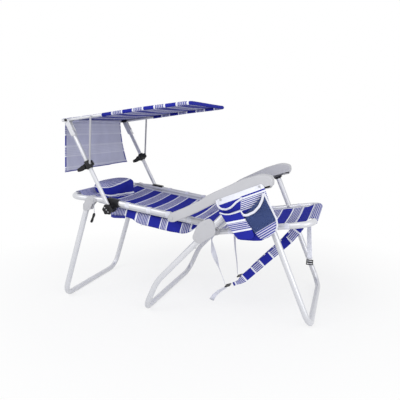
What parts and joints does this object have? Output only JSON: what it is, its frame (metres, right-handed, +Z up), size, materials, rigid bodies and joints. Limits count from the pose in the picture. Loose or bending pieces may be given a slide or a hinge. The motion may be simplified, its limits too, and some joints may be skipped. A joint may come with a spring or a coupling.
{
  "type": "canopy beach chair",
  "caption": "Folding beach chair laid flat, striped sling on silver tube legs, tilting canopy with curtain, head pillow, moulded arms and hanging carry straps.",
  "frame": {"origin": "middle of the bounding box, on the floor", "axes": "+X towards the foot end, +Y towards the sitter's left hand, +Z up"},
  "size_m": [1.1655, 0.6584, 0.9075],
  "materials": {
    "frame_tube": "satin",
    "rivet": "satin",
    "grey_moulding": "matte",
    "black_moulding": "matte",
    "striped_cloth": "woven",
    "mesh_cloth": "woven",
    "webbing": "woven"
  },
  "bodies": {
    "base": {"mid_leg": "frame_tube", "leg_bracket_right": "grey_moulding", "leg_bracket_left": "grey_moulding", "leg_latch_right": "black_moulding", "leg_latch_left": "black_moulding"},
    "seat": {"seat_frame": "frame_tube", "seat_joint_right": "grey_moulding", "seat_joint_left": "grey_moulding", "front_leg_rivet_right": "rivet", "front_leg_rivet_left": "rivet", "seat_sling": "striped_cloth", "shoulder_strap_right": "striped_cloth", "shoulder_strap_left": "striped_cloth", "strap_buckle_right": "black_moulding", "strap_buckle_left": "black_moulding", "webbing_right": "webbing", "webbing_left": "webbing", "strap_tail": "webbing", "front_webbing": "webbing", "front_buckle": "black_moulding"},
    "front_leg": {"front_leg": "frame_tube"},
    "back": {"back_frame": "frame_tube", "back_sling": "striped_cloth", "pillow": "striped_cloth", "storage_bag": "striped_cloth", "rail_clamp_right": "black_moulding", "rail_clamp_left": "black_moulding", "head_leg_rivet_right": "rivet", "head_leg_rivet_left": "rivet", "arm_pivot_right": "rivet", "arm_pivot_left": "rivet", "pull_cord": "webbing", "pull_toggle": "black_moulding"},
    "head_leg": {"head_leg": "frame_tube", "head_leg_bracket_right": "grey_moulding", "head_leg_bracket_left": "grey_moulding"},
    "arm_right": {"arm_right": "grey_moulding", "side_pouch": "striped_cloth", "mesh_pocket": "mesh_cloth", "pouch_rivet_rear": "rivet", "pouch_rivet_front": "rivet"},
    "arm_left": {"arm_left": "grey_moulding"},
    "canopy_support": {"strut_right": "frame_tube", "strut_left": "frame_tube", "strut_fork_right": "grey_moulding", "strut_fork_left": "grey_moulding"},
    "roof": {"canopy_frame": "frame_tube", "canopy_rear_bar": "frame_tube", "canopy_cloth": "striped_cloth", "canopy_pivot_right": "black_moulding", "canopy_pivot_left": "black_moulding"},
    "curtain": {"canopy_curtain": "striped_cloth"},
    "knob_right": {"rail_knob_right": "black_moulding"},
    "knob_left": {"rail_knob_left": "black_moulding"},
    "stay_right": {"stay_rod_right": "frame_tube"},
    "stay_left": {"stay_rod_left": "frame_tube"},
    "slide_right": {"slide_clamp_right": "black_moulding"},
    "slide_left": {"slide_clamp_left": "black_moulding"},
    "lever_right": {"clamp_lever_right": "black_moulding"},
    "lever_left": {"clamp_lever_left": "black_moulding"}
  },
  "joints": [
    {"name": "front_leg_fold", "type": "hinge", "parent": "seat", "child": "front_leg", "pos_m": [0.4126, 0.01, 0.408], "axis": [0, 1, 0], "range_deg": [0, 88], "deforming": ["shoulder_strap_right", "shoulder_strap_left", "strap_buckle_right", "strap_buckle_left", "webbing_right", "webbing_left", "strap_tail"]},
    {"name": "seat_fold", "type": "hinge", "parent": "base", "child": "seat", "pos_m": [0.1786, 0.01, 0.382], "axis": [0, 1, 0], "range_deg": [0, 16], "deforming": ["shoulder_strap_right", "shoulder_strap_left", "strap_buckle_right", "strap_buckle_left", "webbing_right", "webbing_left", "strap_tail"]},
    {"name": "recline", "type": "hinge", "parent": "base", "child": "back", "pos_m": [0.1476, 0.01, 0.404], "axis": [0, 1, 0], "range_deg": [0, 60]},
    {"name": "head_leg_fold", "type": "hinge", "parent": "back", "child": "head_leg", "pos_m": [-0.3924, 0.01, 0.482], "axis": [0, 1, 0], "range_deg": [-80, 0], "deforming": ["shoulder_strap_right", "shoulder_strap_left", "strap_buckle_right", "strap_buckle_left", "webbing_right", "webbing_left", "strap_tail"]},
    {"name": "arm_lift_right", "type": "hinge", "parent": "back", "child": "arm_right", "pos_m": [-0.0004, -0.28, 0.43], "axis": [0, 1, 0], "range_deg": [-49, 0]},
    {"name": "arm_lift_left", "type": "hinge", "parent": "back", "child": "arm_left", "pos_m": [-0.0004, 0.3, 0.43], "axis": [0, 1, 0], "range_deg": [-49, 0]},
    {"name": "canopy_swing", "type": "hinge", "parent": "back", "child": "canopy_support", "pos_m": [-0.3044, 0.01, 0.447], "axis": [0, 1, 0], "range_deg": [-30, 2]},
    {"name": "roof_tilt", "type": "hinge", "parent": "canopy_support", "child": "roof", "pos_m": [-0.4974, 0.01, 0.832], "axis": [0, 1, 0], "range_deg": [-20, 5]},
    {"name": "curtain_swing", "type": "hinge", "parent": "roof", "child": "curtain", "pos_m": [-0.5184, 0.01, 0.83], "axis": [0, 1, 0], "range_deg": [-30, 60]},
    {"name": "stay_turn_right", "type": "hinge", "parent": "slide_right", "child": "stay_right", "pos_m": [-0.3864, -0.276, 0.6456], "axis": [0, 1, 0], "range_deg": [-1.3, 4.8]},
    {"name": "clamp_slide_right", "type": "slide", "parent": "canopy_support", "child": "slide_right", "axis": [0.4481, 0, -0.894], "range_m": [-0.0495, 0.0125]},
    {"name": "clamp_lever_turn_right", "type": "hinge", "parent": "slide_right", "child": "lever_right", "pos_m": [-0.42087, -0.27, 0.63024], "axis": [0, 1, 0], "range_deg": [0, 55]},
    {"name": "rail_knob_turn_right", "type": "hinge", "parent": "back", "child": "knob_right", "pos_m": [-0.3044, -0.28, 0.447], "axis": [0, 1, 0], "continuous": true},
    {"name": "stay_turn_left", "type": "hinge", "parent": "slide_left", "child": "stay_left", "pos_m": [-0.3864, 0.296, 0.6456], "axis": [0, 1, 0], "range_deg": [-1.3, 4.8]},
    {"name": "clamp_slide_left", "type": "slide", "parent": "canopy_support", "child": "slide_left", "axis": [0.4481, 0, -0.894], "range_m": [-0.0495, 0.0125]},
    {"name": "clamp_lever_turn_left", "type": "hinge", "parent": "slide_left", "child": "lever_left", "pos_m": [-0.42087, 0.29, 0.63024], "axis": [0, 1, 0], "range_deg": [0, 55]},
    {"name": "rail_knob_turn_left", "type": "hinge", "parent": "back", "child": "knob_left", "pos_m": [-0.3044, 0.3, 0.447], "axis": [0, 1, 0], "continuous": true}
  ],
  "couplings": [
    {"joint": "seat_fold", "follows": "front_leg_fold", "ratio": 0.18},
    {"joint": "arm_lift_right", "follows": "recline", "ratio": -0.8},
    {"joint": "stay_turn_right", "follows": "roof_tilt", "ratio": -0.235},
    {"joint": "clamp_slide_right", "follows": "roof_tilt", "m_per_rad": 0.1414},
    {"joint": "arm_lift_left", "follows": "recline", "ratio": -0.8},
    {"joint": "stay_turn_left", "follows": "roof_tilt", "ratio": -0.235},
    {"joint": "clamp_slide_left", "follows": "roof_tilt", "m_per_rad": 0.1414}
  ]
}
